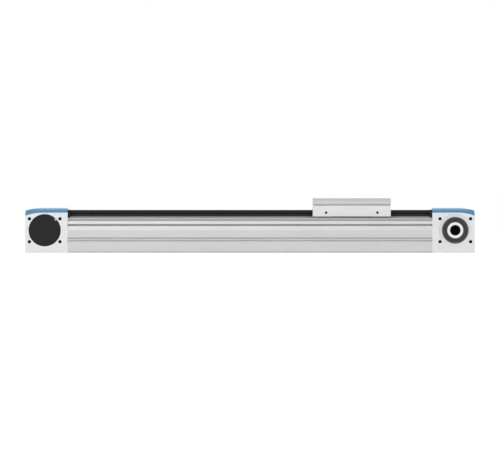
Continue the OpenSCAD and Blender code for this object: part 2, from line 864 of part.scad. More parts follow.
module slide_outline() {
    half = slide_w / 2;
    neck_z = body_top_z - neck_h;
    polygon(both_halves([
        [half - skirt_bevel, skirt_z], [half, skirt_z + skirt_bevel],
        [half, neck_z - skirt_bevel], [half - skirt_bevel, neck_z], [half - neck_inset, neck_z],
        [half - neck_inset, body_top_z]
    ]));
}

module slide_body() {
    color([0.87, 0.87, 0.88]) on_slide() difference() {
        along_x(slide_l) difference() {
            slide_outline();
            polygon(both_halves([
                [tunnel_half + 2, skirt_z - 1], [tunnel_half + 1, skirt_z],
                [tunnel_half, skirt_z + 1], [tunnel_half, ceiling_z]
            ]));
        }
        both_sides() {
            block(-cassette_l / 2 - play, cassette_l / 2 + play, cassette_in - play, cassette_out + play,
                skirt_z - cut, cassette_z1 + play);
            for (x = cassette_screw_x()) {
                rod_z(cassette_screw_d / 2 + hole_clear, cassette_z1 - cut, body_top_z + cut,
                    x, cassette_screw_y());
                rod_z(cassette_head_d / 2 + hole_clear, body_top_z - cassette_head_deep, body_top_z + cut,
                    x, cassette_screw_y());
            }
            for (x = clamp_screw_x()) {
                rod_z(clamp_screw_d / 2 + hole_clear, ceiling_z - cut, body_top_z + cut, x, clamp_screw_y);
                rod_z(clamp_head_d / 2 + hole_clear, body_top_z - clamp_head_deep, body_top_z + cut,
                    x, clamp_screw_y);
            }
            for (s = [-1, 1]) {
                rod_y(nipple_d / 2 + fit, slide_w / 2 - nipple_l, slide_w / 2 + cut,
                    s * nipple_dx / 2, nipple_z);
                rod_z(2, body_top_z - 5, body_top_z + cut, s * plate_screw_x, plate_screw_y);
            }
        }
        for (s = [-1, 1]) {
            inner = s * (slide_l / 2 - wiper_t);
            outer = s * (slide_l / 2 + cut);
            deep = s * (slide_l / 2 - wiper_screw_l - play);
            block(min(inner, outer), max(inner, outer), -wiper_half - play, wiper_half + play,
                skirt_z - cut, wiper_z1 + play);
            for (y = [-1, 1])
                rod_x(1, min(inner, deep), max(inner, deep), y * wiper_screw_y, wiper_z1 - 3);
        }
    }
}

function cassette_screw_x() = [-cassette_screw_dx, cassette_screw_dx];
function cassette_screw_y() = (ball_y + return_y) / 2;
function clamp_screw_x() = [
    for (s = [-1, 1], d = [3.5, clamp_l - 3.5]) s * (clamp_out - d)
];

module slide_top_plate() {
    half = plate_w / 2;
    top = body_top_z + plate_t;
    color([0.80, 0.80, 0.81]) on_slide() difference() {
        along_x(slide_l) polygon(both_halves([
            [half, body_top_z], [half, top - 3.8], [half - plate_line_d, top - 3.6],
            [half - plate_line_d, top - 2], [half, top - 1.8],
            [half, top - plate_edge], [half - plate_edge, top]
        ]));
        both_sides() {
            for (s = [-1, 1]) {
                x = s * plate_hole_step / 2;
                rod_z(2.1, body_top_z - cut, top + cut, x, plate_hole_step / 2);
                rod_z(4.5, top - 2.1, top + cut, x, plate_hole_step / 2);
                rod_z(2 + hole_clear, body_top_z - cut, top + cut, s * plate_screw_x, plate_screw_y);
                rod_z(3.5 + hole_clear, top - 4.2, top + cut, s * plate_screw_x, plate_screw_y);
            }
        }
    }
}

module slide_plate_screws() {
    color([0.4, 0.4, 0.42]) on_slide() both_sides() for (s = [-1, 1])
        translate([s * plate_screw_x, plate_screw_y, body_top_z + plate_t - 4.2])
            cap_screw(3.96, plate_t - 4.2 + 4.8, 7, 4);
}

// Closed ball track: two straight bores joined by a milled turn at each end
module ball_track() {
    for (y = [ball_y, return_y])
        rod_x(track_r, -track_half, track_half, y, ball_z);
    for (s = [-1, 1])
        translate([s * track_half, ball_y + turn_r, ball_z]) intersection() {
            difference() {
                cylinder(r = turn_r + track_r, h = 2 * track_r, center = true);
                cylinder(r = turn_r - track_r, h = 2 * track_r + cut, center = true);
            }
            translate([s * cassette_l / 2, 0, 0])
                cube([cassette_l, cassette_l, 2 * track_r], center = true);
        }
}

// Built on the rear side, y > 0
module cassette() {
    difference() {
        along_x(cassette_l) polygon([
            [foot_step_y, cassette_z0], [cassette_out, cassette_z0], [cassette_out, cassette_z1],
            [cassette_in, cassette_z1], [cassette_in, foot_step_z], [foot_step_y, foot_step_z - 1]
        ]);
        ball_track();
        block(-track_half - play, track_half + play, strip_in - play, strip_out + play,
            ball_z - strip_h / 2 - play, ball_z + strip_h / 2 + play);
        for (x = cassette_screw_x())
            rod_z(cassette_screw_d / 2, ball_z + strip_h / 2 + cassette_screw_floor, cassette_z1 + cut,
                x, cassette_screw_y());
    }
}

module rear_ball_cassette() {
    color([0.11, 0.11, 0.12]) on_slide() cassette();
}

module front_ball_cassette() {
    color([0.11, 0.11, 0.12]) on_slide() mirror([0, 1, 0]) cassette();
}

module raceway_strips() {
    color([0.6, 0.6, 0.63]) on_slide() both_sides() difference() {
        block(-track_half, track_half, strip_in, strip_out, ball_z - strip_h / 2, ball_z + strip_h / 2);
        rod_x(track_r, -track_half - cut, track_half + cut, ball_y, ball_z);
    }
}

// Place of a ball along the closed track, by path length
function track_point(s) =
    let (straight = 2 * track_half, turn = PI * turn_r, mid = ball_y + turn_r)
    s < straight ? [s - track_half, ball_y]
    : s < straight + turn
        ? [track_half, mid] + polar(turn_r, (s - straight) / turn_r * 180 / PI - 90)
    : s < 2 * straight + turn ? [track_half - (s - straight - turn), return_y]
    : [-track_half, mid] + polar(turn_r, 90 + (s - 2 * straight - turn) / turn_r * 180 / PI);

module cassette_balls() {
    color([0.8, 0.8, 0.82]) on_slide() both_sides()
        for (i = [0 : balls_n - 1]) {
            p = track_point(i * track_len / balls_n);
            translate([p[0], p[1], ball_z]) sphere(r = ball_r);
        }
}

module cassette_screws() {
    color([0.4, 0.4, 0.42]) on_slide() both_sides() for (x = cassette_screw_x())
        translate([x, cassette_screw_y(), body_top_z - cassette_head_deep])
            cap_screw(cassette_screw_d - 2 * fit, body_top_z - cassette_head_deep - ball_z - strip_h / 2
                - cassette_screw_floor - screw_tip_gap, cassette_head_d, cassette_head_h);
}

module wiper(s) {
    lip = run_gap;
    edge = rail_w / 2 + lip;
    color([0.13, 0.13, 0.14]) on_slide() translate([s * (slide_l / 2 - wiper_t / 2), 0, 0]) difference() {
        along_x(wiper_t) difference() {
            round_rect(-wiper_half, wiper_half, skirt_z + 0.6, wiper_z1, 1.5);
            translate([-edge, 0]) square([2 * edge, ceiling_z]);
            for (m = [0, 1]) mirror([m, 0])
                polygon([
                    [edge - 1, 0], [edge + 1.9, 0],
                    [edge + 1.9, deck_z + 0.9], [edge - 0.1, deck_z + 2.9]
                ]);
            for (y = [-1, 1])
                translate([y * wiper_screw_y, wiper_z1 - 3]) circle(r = 1 + hole_clear);
        }
        for (y = [-1, 1])
            translate([s * (wiper_t / 2 - 1), y * wiper_screw_y, wiper_z1 - 3]) rotate([0, s * 90, 0])
                cylinder(r1 = 1 + hole_clear, r2 = 2 + hole_clear, h = 1 + play);
    }
}

module wiper_screws() {
    color([0.45, 0.45, 0.47]) on_slide() for (s = [-1, 1], y = [-1, 1])
        translate([s * slide_l / 2, y * wiper_screw_y, wiper_z1 - 3]) rotate([0, s * 90, 0])
            flat_screw(1.96, wiper_screw_l);
}

// Jaw under the belt: ridges reach up between the teeth, cheeks stand beside the belt
module belt_clamp(x0, x1, teeth) {
    ridge_half = (pitch - tooth_root_w) / 2 - clamp_tooth_gap / 2;
    ridge_z = belt_land_z - clamp_tooth_gap;
    base_z = belt_tip_z - clamp_tooth_gap;
    color([0.75, 0.75, 0.77]) difference() {
        union() {
            block(x0, x1, -clamp_half, clamp_half, clamp_z0, base_z);
            for (s = [-1, 1])
                block(x0, x1, s > 0 ? clamp_cheek : -clamp_half, s > 0 ? clamp_half : -clamp_cheek,
                    clamp_z0, ceiling_z);
            intersection() {
                block(x0, x1, -clamp_cheek, clamp_cheek, clamp_z0, ridge_z);
                along_y(2 * clamp_cheek) for (x = teeth)
                    polygon([
                        [x + pitch / 2 - ridge_half - 0.3, base_z - cut],
                        [x + pitch / 2 + ridge_half + 0.3, base_z - cut],
                        [x + pitch / 2 + ridge_half, ridge_z], [x + pitch / 2 - ridge_half, ridge_z]
                    ]);
            }
        }
        for (x = clamp_screw_x())
            for (s = [-1, 1])
                rod_z(clamp_screw_d / 2, clamp_z0 - cut, ceiling_z + cut, slide_x + x, s * clamp_screw_y);
    }
}

module left_belt_clamp() {
    x0 = slide_x - clamp_out;
    belt_clamp(x0, x0 + clamp_l, left_teeth(x0 - pitch, x0 + clamp_l));
}

module right_belt_clamp() {
    x1 = slide_x + clamp_out;
    belt_clamp(x1 - clamp_l, x1, right_teeth(x1 - clamp_l - pitch, x1));
}

module belt_clamp_screws() {
    color([0.4, 0.4, 0.42]) on_slide() both_sides() for (x = clamp_screw_x())
        translate([x, clamp_screw_y, body_top_z - clamp_head_deep])
            cap_screw(clamp_screw_d - 2 * fit, body_top_z - clamp_head_deep - clamp_z0 - screw_tip_gap,
                clamp_head_d, clamp_head_h);
}

module lube_nipples() {
    color([0.55, 0.55, 0.57]) on_slide() both_sides() for (s = [-1, 1]) difference() {
        rod_y(nipple_d / 2, slide_w / 2 - nipple_l, slide_w / 2 - 0.4, s * nipple_dx / 2, nipple_z);
        rod_y(nipple_d / 4, slide_w / 2 - 1.6, slide_w / 2 + cut, s * nipple_dx / 2, nipple_z);
    }
}

// ---------- the two ends ----------

module drive_end_cap() { at_drive() end_cap(); }
module return_end_cap() { at_return() end_cap(); }
module drive_top_cover() { at_drive() top_cover(); }
module return_top_cover() { at_return() top_cover(); }
module drive_cap_screws() { at_drive() cap_screws(); }
module return_cap_screws() { at_return() cap_screws(); }
module drive_cover_screws() { at_drive() cover_screws(); }
module return_cover_screws() { at_return() cover_screws(); }
module drive_buffer() { at_drive() buffer(); }
module return_buffer() { at_return() buffer(); }
module drive_rear_blanking_cap() { at_drive() blanking_cap(false); }
module return_rear_blanking_cap() { at_return() blanking_cap(false); }
module return_front_blanking_cap() { at_return() mirror([0, 1, 0]) blanking_cap(true); }
module drive_bearing_outer_rings() { at_drive() bearing_outer_rings(); }
module return_bearing_outer_rings() { at_return() bearing_outer_rings(); }
module drive_bearing_seals() { at_drive() bearing_seals(); }
module return_bearing_seals() { at_return() bearing_seals(); }
module drive_idler_axle() { at_drive() idler_axle(); }
module return_idler_axle() { at_return() idler_axle(); }
module drive_pulley() { at_drive() pulley(0); }
module return_pulley() { at_return() pulley(-return_phase); }
module drive_pulley_flanges() { at_drive() pulley_flanges(); }
module return_pulley_flanges() { at_return() pulley_flanges(); }
module drive_bearing_inner_rings() { at_drive() bearing_inner_rings(); }
module return_bearing_inner_rings() { at_return() bearing_inner_rings(); }
module drive_bearing_balls() { at_drive() bearing_balls(); }
module return_bearing_balls() { at_return() bearing_balls(); }
module drive_bearing_cages() { at_drive() bearing_cages(); }
module return_bearing_cages() { at_return() bearing_cages(); }
module drive_idler_roller() { at_drive() idler_roller(); }
module return_idler_roller() { at_return() idler_roller(); }
module drive_idler_bush() { at_drive() idler_bush(); }
module return_idler_bush() { at_return() idler_bush(); }
module left_wiper() { wiper(-1); }
module right_wiper() { wiper(1); }

profile();
guide_rail();
rail_screws();
drive_end_cap();
return_end_cap();
drive_top_cover();
return_top_cover();
drive_cap_screws();
return_cap_screws();
drive_cover_screws();
return_cover_screws();
drive_buffer();
return_buffer();
drive_rear_blanking_cap();
return_front_blanking_cap();
return_rear_blanking_cap();
toothed_belt();
drive_bearing_outer_rings();
return_bearing_outer_rings();
drive_bearing_seals();
return_bearing_seals();
drive_idler_axle();
return_idler_axle();
drive_pulley();
drive_pulley_flanges();
drive_bearing_inner_rings();
return_pulley();
return_pulley_flanges();
return_bearing_inner_rings();
drive_bearing_balls();
drive_bearing_cages();
return_bearing_balls();
return_bearing_cages();
drive_idler_roller();
drive_idler_bush();
return_idler_roller();
return_idler_bush();
slide_body();
slide_top_plate();
slide_plate_screws();
front_ball_cassette();
rear_ball_cassette();
raceway_strips();
cassette_balls();
cassette_screws();
left_wiper();
right_wiper();
wiper_screws();
left_belt_clamp();
right_belt_clamp();
belt_clamp_screws();
lube_nipples();
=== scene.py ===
"""Finishes, small parts and studio for a belt driven linear axis."""

import json
import math

import bmesh
import bpy
from mathutils import Matrix, Vector


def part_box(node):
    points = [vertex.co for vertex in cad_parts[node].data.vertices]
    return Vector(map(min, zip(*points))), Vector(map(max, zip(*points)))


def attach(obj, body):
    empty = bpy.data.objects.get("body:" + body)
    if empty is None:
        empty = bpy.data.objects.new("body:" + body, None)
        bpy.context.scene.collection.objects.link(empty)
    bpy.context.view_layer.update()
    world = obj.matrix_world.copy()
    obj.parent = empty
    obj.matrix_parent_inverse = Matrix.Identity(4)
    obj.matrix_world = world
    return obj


bl_info = {
    "name": "Belt Driven Linear Axis",
    "version": (1, 0, 0),
    "blender": (4, 5, 0),
    "location": "View3D > Sidebar > Linear Axis",
    "description": "Finishes, small parts and studio for a belt driven linear axis",
    "category": "Object",
}

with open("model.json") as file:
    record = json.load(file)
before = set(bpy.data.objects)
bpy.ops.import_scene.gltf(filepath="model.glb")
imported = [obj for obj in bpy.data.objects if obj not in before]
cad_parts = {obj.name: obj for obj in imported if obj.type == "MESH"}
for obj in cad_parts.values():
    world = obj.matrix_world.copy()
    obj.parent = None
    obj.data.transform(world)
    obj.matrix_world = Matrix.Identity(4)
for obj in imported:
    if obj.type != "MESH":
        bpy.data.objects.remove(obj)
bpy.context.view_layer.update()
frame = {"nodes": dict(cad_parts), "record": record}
MM = 0.001


def span(node):
    """Lowest and highest corner of a CAD node, in metres."""
    low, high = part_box(node)
    return Vector(low), Vector(high)


def middle(node):
    """Middle of a CAD node's box, in metres."""
    low, high = span(node)
    return (low + high) / 2


MOUNTS = {mount["name"]: mount for mount in frame["record"]["mounts"]}
DRIVE_SHAFT = middle("drive_pulley")
HALF_WIDTH = span("drive_end_cap")[1].y
DECK = span("profile")[1].z

# Heights between which the tone of the profile turns to a painted shade along its edge under the
# deck, where it is also duller
SHADED_EDGE_HEIGHTS = (DECK - 4.0 * MM, DECK - 3.7 * MM)
EDGE_SHADE_TONE = (0.79, 0.79, 0.79)
EDGE_DULLNESS = 0.3
# Heights between which the black of the rail turns to the paler tone of its foot
RAIL_FOOT_FADE = (DECK + 2.3 * MM, DECK + 1.2 * MM)
# Dark tone of a hollow shaft past its rim, and half the width over which it begins
DARK_RIM_TONE = (0.07, 0.07, 0.073)
RIM_BLUR = 0.05 * MM
# Scale of the noise that makes turning marks
TURNING_MARKS = 6000
# Distances between the cords of the belt, and between the ribs of the twill on its teeth
CORD_SPACING = 0.9 * MM
TWILL_SPACING = 0.35 * MM


# ---------- settings ----------


def tint(name, value, description):
    """A colour that the user may change."""
    return bpy.props.FloatVectorProperty(
        name=name, description=description, subtype="COLOR", size=3, min=0, max=1, default=value
    )


class AxisFinishes(bpy.types.PropertyGroup):
    """Colours of the axis, as linear values."""

    profile: tint("Profile", (0.64, 0.64, 0.64), "Drawn and anodised aluminium of the profile")
    cap: tint("End caps", (0.80, 0.795, 0.81), "Blasted and anodised aluminium of the end caps")
    slide: tint("Slide body", (0.755, 0.755, 0.755), "Anodised aluminium of the slide body")
    plate: tint("Top plate", (0.61, 0.61, 0.615), "Milled aluminium of the slide's top plate")
    turned: tint("Turned parts", (0.78, 0.78, 0.785), "Bright turned hollow shafts and pulleys")
    rail: tint("Guide rail", (0.013, 0.013, 0.0135), "Black oxide on the guide rail")
    # The rail's foot takes a paler tone than the rest of the rail.
    rail_foot: tint("Rail foot", (0.20, 0.20, 0.20), "Thin oxide on the foot of the rail")
    cover: tint("Top covers", (0.060, 0.270, 0.470), "Moulded blue plastic of the top covers")
    black_plastic: tint("Black plastic", (0.012, 0.0115, 0.013), "Moulded black plastic")
    rubber: tint("Rubber", (0.016, 0.016, 0.016), "Belt, buffers and seals")
    seal: tint("Seal", (0.050, 0.050, 0.052), "Faces of the bearing seals")
    screw: tint("Screws", (0.52, 0.52, 0.51), "Zinc plated screws")
    bearing: tint("Bearing steel", (0.62, 0.62, 0.63), "Ground steel of rings, balls and raceways")
    inner_ring: tint("Inner rings", (0.10, 0.10, 0.105), "Faces of the inner bearing rings")
    # Painted shade: the outer rings are darkened for the shade in their recessed seat.
    outer_ring: tint("Outer rings", (0.165, 0.165, 0.17), "Faces of the outer bearing rings")
    # Painted shade: the threads are darkened for their oil and for the shade deep in a hole.
    thread: tint("Threads", (0.035, 0.035, 0.037), "Oiled walls of the tapped holes")
    bronze: tint("Bronze", (0.60, 0.36, 0.14), "Idler bushes")
    brass: tint("Brass", (0.66, 0.50, 0.20), "Ball cages")


class SmallPartSizes(bpy.types.PropertyGroup):
    """Sizes of the small parts that the CAD model leaves plain."""

    thread_pitch: bpy.props.FloatProperty(
        name="Thread pitch", description="Pitch of the tapped holes",
        unit="LENGTH", default=0.8 * MM,
    )
    thread_height: bpy.props.FloatProperty(
        name="Thread height", description="How far a thread stands out of its hole's wall",
        unit="LENGTH", default=0.36 * MM,
    )
    cap_hole_depth: bpy.props.FloatProperty(
        name="Hole depth round a shaft", description="Depth of the tapped holes round a shaft",
        unit="LENGTH", default=8 * MM,
    )
    foot_hole_depth: bpy.props.FloatProperty(
        name="Foot hole depth", description="Depth of the tapped holes under a cap",
        unit="LENGTH", default=9 * MM,
    )
    bead_height: bpy.props.FloatProperty(
        name="Seal bead", description="How far the seal's beads stand out of its face",
        unit="LENGTH", default=0.12 * MM,
    )
    lip_width: bpy.props.FloatProperty(
        name="Lip width", description="Thickness of the lip in front of a ball cassette",
        unit="LENGTH", default=1.6 * MM,
    )
    lip_height: bpy.props.FloatProperty(
        name="Lip height", description="Height of the lip in front of a ball cassette",
        unit="LENGTH", default=1.48 * MM,
    )
    lip_overhang: bpy.props.FloatProperty(
        name="Lip overhang", description="How far the lip reaches past each end of its cassette",
        unit="LENGTH", default=0.8 * MM,
    )
    lip_gap: bpy.props.FloatProperty(
        name="Lip gap", description="Gap between a cassette's lip and the deck",
        unit="LENGTH", default=0.12 * MM,
    )
    # Past this radius a hollow shaft's metal takes a dark tone.
    shaft_rim: bpy.props.FloatProperty(
        name="Shaft rim", description="Radius of a hollow shaft inside its burnished rim",
        unit="LENGTH", default=9.4 * MM,
    )


class StudioSettings(bpy.types.PropertyGroup):
    """Camera and light of the studio."""

    distance: bpy.props.FloatProperty(
        name="Distance", description="From the camera to the front of the axis",
        unit="LENGTH", default=15.0, min=1.0,
    )
    framed_width: bpy.props.FloatProperty(
        name="Framed width", description="Width of the view at the front of the axis",
        unit="LENGTH", default=0.5893, min=0.2,
    )
    eye_height: bpy.props.FloatProperty(
        name="Eye height", description="Height of the camera above the floor",
        unit="LENGTH", default=0.0325, min=0.0,
    )
    ambient: bpy.props.FloatProperty(
        name="Ambient", description="Strength of the light from all round",
        default=0.38, min=0.0,
    )
    overhead: bpy.props.FloatProperty(
        name="Overhead", description="Power of the softbox overhead, in watts",
        default=38.0, min=0.0,
    )
    front: bpy.props.FloatProperty(
        name="Front", description="Power of the softbox in front, in watts",
        default=22.0, min=0.0,
    )


# ---------- shader helpers ----------


class Shader:
    """A small hand for building one material's nodes."""

    def __init__(self, name):
        self.material = bpy.data.materials.new(name)
        self.material.use_nodes = True
        self.tree = self.material.node_tree
        self.tree.nodes.clear()
        self.surface = self.add("ShaderNodeBsdfPrincipled")
        output = self.add("ShaderNodeOutputMaterial")
        self.link(self.surface.outputs["BSDF"], output.inputs["Surface"])

    def add(self, kind, **settings):
        made = self.tree.nodes.new(kind)
        for key, value in settings.items():
            setattr(made, key, value)
        return made

    def link(self, source, target):
        self.tree.links.new(source, target)

    def put(self, target, value):
        """Links a socket, or sets a constant."""
        if isinstance(value, bpy.types.NodeSocket):
            self.link(value, target)
        else:
            target.default_value = value

    def place(self, scale=(1, 1, 1)):
        """Object coordinates, scaled."""
        source = self.add("ShaderNodeTexCoord")
        mapping = self.add("ShaderNodeMapping")
        mapping.inputs["Scale"].default_value = scale
        self.link(source.outputs["Object"], mapping.inputs["Vector"])
        return mapping.outputs["Vector"]

    def coordinates(self):
        """Object coordinates as separate outputs X, Y and Z, in metres."""
        parts = self.add("ShaderNodeSeparateXYZ")
        self.link(self.place(), parts.inputs["Vector"])
        return parts.outputs

    def noise(self, vector, scale, detail=4.0, roughness=0.55):
        made = self.add("ShaderNodeTexNoise")
        self.link(vector, made.inputs["Vector"])
        made.inputs["Scale"].default_value = scale
        made.inputs["Detail"].default_value = detail
        made.inputs["Roughness"].default_value = roughness
        return made.outputs["Fac"]

    def math(self, operation, first, second=0.0):
        made = self.add("ShaderNodeMath", operation=operation)
        for socket, value in zip(made.inputs, (first, second)):
            self.put(socket, value)
        return made.outputs["Value"]

    def blend(self, first, second, share):
        """The sum of two values, with the given share of the first."""
        return self.math(
            "ADD", self.math("MULTIPLY", first, share), self.math("MULTIPLY", second, 1 - share)
        )

    def fit(self, value, low, high, to_low=0.0, to_high=1.0):
        made = self.add("ShaderNodeMapRange")
        made.inputs["From Min"].default_value = low
        made.inputs["From Max"].default_value = high
        made.inputs["To Min"].default_value = to_low
        made.inputs["To Max"].default_value = to_high
        self.link(value, made.inputs["Value"])
        return made.outputs["Result"]

    def spread(self, noise, to_low=0.0, to_high=1.0):
        """The middle of a noise's values, where most of them lie, spread over the given range."""
        return self.fit(noise, 0.3, 0.7, to_low, to_high)

    def roughness(self, noise, middle, down, up):
        """A roughness that moves with a noise from below to above its middle value."""
        return self.spread(noise, middle - down, middle + up)

    def mix(self, factor, first, second, blend="MIX"):
        made = self.add("ShaderNodeMix", data_type="RGBA", blend_type=blend)
        self.put(made.inputs[0], factor)
        for socket, value in ((made.inputs[6], first), (made.inputs[7], second)):
            self.put(socket, value if isinstance(value, bpy.types.NodeSocket) else (*value, 1))
        return made.outputs[2]

    def edges(self, radius):
        """About 1 on an outer edge and 0 on a flat face."""
        bevel = self.add("ShaderNodeBevel", samples=6)
        bevel.inputs["Radius"].default_value = radius
        geometry = self.add("ShaderNodeNewGeometry")
        dot = self.add("ShaderNodeVectorMath", operation="DOT_PRODUCT")
        self.link(bevel.outputs["Normal"], dot.inputs[0])
        self.link(geometry.outputs["Normal"], dot.inputs[1])
        return self.fit(dot.outputs["Value"], 1.0, 0.85)

    def crevices(self, distance):
        """About 1 deep in a corner or a groove and 0 on an open face."""
        shade = self.add("ShaderNodeAmbientOcclusion", samples=8)
        shade.inputs["Distance"].default_value = distance
        return self.fit(shade.outputs["AO"], 0.85, 0.25)

    def painted_crevice_shade(self, base, depth, distance):
        """The base colour, darker by depth within distance of a corner, as painted shade."""
        dark = (1 - depth, 1 - depth, 1 - depth)
        return self.mix(self.crevices(distance), base, self.mix(1.0, base, dark, "MULTIPLY"))

    def bump(self, height, distance, strength=1.0, radius=None):
        made = self.add("ShaderNodeBump")
        made.inputs["Strength"].default_value = strength
        made.inputs["Distance"].default_value = distance
        self.link(height, made.inputs["Height"])
        if radius:
            bevel = self.add("ShaderNodeBevel", samples=6)
            bevel.inputs["Radius"].default_value = radius
            self.link(bevel.outputs["Normal"], made.inputs["Normal"])
        self.link(made.outputs["Normal"], self.surface.inputs["Normal"])

    def set(self, **values):
        for key, value in values.items():
            self.put(self.surface.inputs[key.replace("_", " ")], value)


def paler(colour, gain, lift=0.0):
    """The colour times gain plus lift, at most white."""
    return tuple(min(1.0, c * gain + lift) for c in colour)


def varied(shader, colour, factor, depth):
    """The colour, darker and lighter by depth where factor moves from 0 to 1."""
    return shader.mix(factor, paler(colour, 1 - depth), paler(colour, 1 + depth))


def painted_edge_highlight(shader, base, colour, radius, share, gain, lift=0.0):
    """The base colour, with a share of a paler one on outer edges of about this radius: a painted
    highlight.
    """
    factor = shader.math("MULTIPLY", shader.edges(radius), share)
    return shader.mix(factor, base, paler(colour, gain, lift))


def drawn_aluminium(name, colour, roughness):
    """Die lines run along X over a fine anodised grain; the edge under the deck is duller and
    darkened by a painted shade.
    """
    s = Shader(name)
    lines = s.noise(s.place((1.5, 900, 900)), 1.0, 5.0, 0.6)
    grain = s.noise(s.place(), 5200, 2.0)
    clouds = s.noise(s.place((14, 60, 60)), 1.0, 3.0)
    shade_band = s.fit(s.coordinates()["Z"], *SHADED_EDGE_HEIGHTS)
    base = varied(s, colour, s.spread(s.blend(lines, clouds, 0.6)), 0.05)
    # Painted shade: the profile's edge under the deck is darkened as if shaded.
    base = s.mix(shade_band, base, s.mix(1.0, base, EDGE_SHADE_TONE, "MULTIPLY"))
    dull = s.math("MULTIPLY", shade_band, EDGE_DULLNESS)
    s.set(
        # Painted highlight: outer edges are paler.
        Base_Color=painted_edge_highlight(s, base, colour, 0.25 * MM, 0.6, 1.22),
        Metallic=0.6,
        Roughness=s.math("ADD", s.roughness(lines, roughness, 0.05, 0.07), dull),
    )
    s.bump(s.math("ADD", lines, s.math("MULTIPLY", grain, 0.5)), 0.012 * MM, 0.5, 0.2 * MM)
    return s.material


def blasted_aluminium(name, colour, roughness):
    """Glass bead blasted and anodised: an even, very fine grain."""
    s = Shader(name)
    grain = s.noise(s.place(), 2600, 4.0, 0.7)
    clouds = s.noise(s.place(), 55, 3.0)
    base = varied(s, colour, s.spread(s.blend(grain, clouds, 0.55)), 0.035)
    s.set(
        # Painted shade in corners and grooves, and a painted highlight on outer edges.
        Base_Color=s.painted_crevice_shade(painted_edge_highlight(s, base, colour, 0.3 * MM, 0.6, 1.15), 0.3, 1.2 * MM),
        Metallic=0.5,
        Roughness=s.roughness(grain, roughness, 0.06, 0.06),
    )
    s.bump(grain, 0.02 * MM, 0.45, 0.25 * MM)
    return s.material


def milled_aluminium(name, colour, roughness):
    """Fine cutter marks along X over an anodised face."""
    s = Shader(name)
    marks = s.noise(s.place((30, 1500, 1500)), 1.0, 4.0, 0.6)
    clouds = s.noise(s.place((20, 50, 50)), 1.0, 3.0)
    base = varied(s, colour, s.spread(s.blend(marks, clouds, 0.5)), 0.045)
    s.set(
        # Painted shade in corners and grooves, and a painted highlight on outer edges.
        Base_Color=s.painted_crevice_shade(painted_edge_highlight(s, base, colour, 0.25 * MM, 0.6, 1.2), 0.35, 2.5 * MM),
        Metallic=0.6,
        Roughness=s.roughness(marks, roughness, 0.06, 0.08),
    )
    s.bump(marks, 0.01 * MM, 0.5, 0.25 * MM)
    return s.material


def radius_round_shaft(s):
    """Distance from the nearer pulley shaft's axis, in metres."""
    parts = s.coordinates()
    away = s.math("SUBTRACT", s.math("ABSOLUTE", parts["X"]), DRIVE_SHAFT.x)
    up = s.math("SUBTRACT", parts["Z"], DRIVE_SHAFT.z)
    return s.math("SQRT", s.math("ADD", s.math("MULTIPLY", away, away), s.math("MULTIPLY", up, up)))


def turned_metal(name, colour, roughness, rim=None):
    """Turning marks run in rings round the shafts; past the rim's radius the metal is dark."""
    s = Shader(name)
    radius = radius_round_shaft(s)
    rings = s.add("ShaderNodeTexNoise", noise_dimensions="1D")
    s.link(radius, rings.inputs["W"])
    rings.inputs["Scale"].default_value = TURNING_MARKS
    clouds = s.noise(s.place(), 90, 3.0)
    marks = rings.outputs["Fac"]
    base = varied(s, colour, s.spread(s.blend(marks, clouds, 0.6)), 0.05)
    # Painted highlight: outer edges are paler.
    base = painted_edge_highlight(s, base, colour, 0.25 * MM, 0.5, 1.15)
    if rim:
        base = s.mix(s.fit(radius, rim - RIM_BLUR, rim + RIM_BLUR), base, DARK_RIM_TONE)
    s.set(
        Base_Color=base,
        Metallic=1.0,
        Roughness=s.roughness(marks, roughness, 0.05, 0.07),
    )
    s.bump(marks, 0.008 * MM, 0.5, 0.2 * MM)
    return s.material


def plain_metal(name, colour, roughness):
    """Plated or ground steel, bronze and brass with a fine mottle."""
    s = Shader(name)
    mottle = s.noise(s.place(), 700, 4.0, 0.6)
    clouds = s.noise(s.place(), 160, 2.0)
    base = varied(s, colour, s.spread(s.blend(mottle, clouds, 0.6)), 0.10)
    s.set(
        # Painted highlight: outer edges are paler.
        Base_Color=painted_edge_highlight(s, base, colour, 0.2 * MM, 0.6, 1.25),
        Metallic=1.0,
        Roughness=s.roughness(mottle, roughness, 0.05, 0.08),
    )
    s.bump(mottle, 0.01 * MM, 0.4, 0.15 * MM)
    return s.material


def blackened_rail(name, colour, roughness, foot_colour):
    """Black oxide drawn along X, paler on the rail's foot."""
    s = Shader(name)
    lines = s.noise(s.place((4, 700, 700)), 1.0, 4.0, 0.6)
    clouds = s.noise(s.place((30, 90, 90)), 1.0, 3.0)
    base = varied(s, colour, s.spread(s.blend(lines, clouds, 0.6)), 0.22)
    foot = s.fit(s.coordinates()["Z"], *RAIL_FOOT_FADE)
    s.set(
        # Painted highlight: outer edges are paler.
        Base_Color=s.mix(foot, painted_edge_highlight(s, base, colour, 0.2 * MM, 0.5, 3.5), foot_colour),
        Metallic=0.25,
        Roughness=s.roughness(lines, roughness, 0.06, 0.08),
        Specular_IOR_Level=0.25,
    )
    s.bump(lines, 0.01 * MM, 0.5, 0.2 * MM)
    return s.material


def moulded_plastic(name, colour, roughness, shine, gloss=0.0, depth=0.05):
    """Moulded plastic with an eroded grain, a little paler along its edges as a painted highlight.
    """
    s = Shader(name)
    grain = s.noise(s.place(), 1500, 3.0, 0.6)
    clouds = s.noise(s.place(), 45, 2.0)
    base = varied(s, colour, s.spread(s.blend(grain, clouds, 0.5)), depth)
    s.set(
        # Painted highlight: outer edges are paler.
        Base_Color=painted_edge_highlight(s, base, colour, 0.3 * MM, 0.5, 1.3, 0.01),
        Roughness=s.roughness(grain, roughness, 0.06, 0.08),
        Specular_IOR_Level=shine,
        Coat_Weight=gloss,
        Coat_Roughness=0.10,
    )
    s.bump(grain, 0.03 * MM, 0.35, 0.25 * MM)
    return s.material


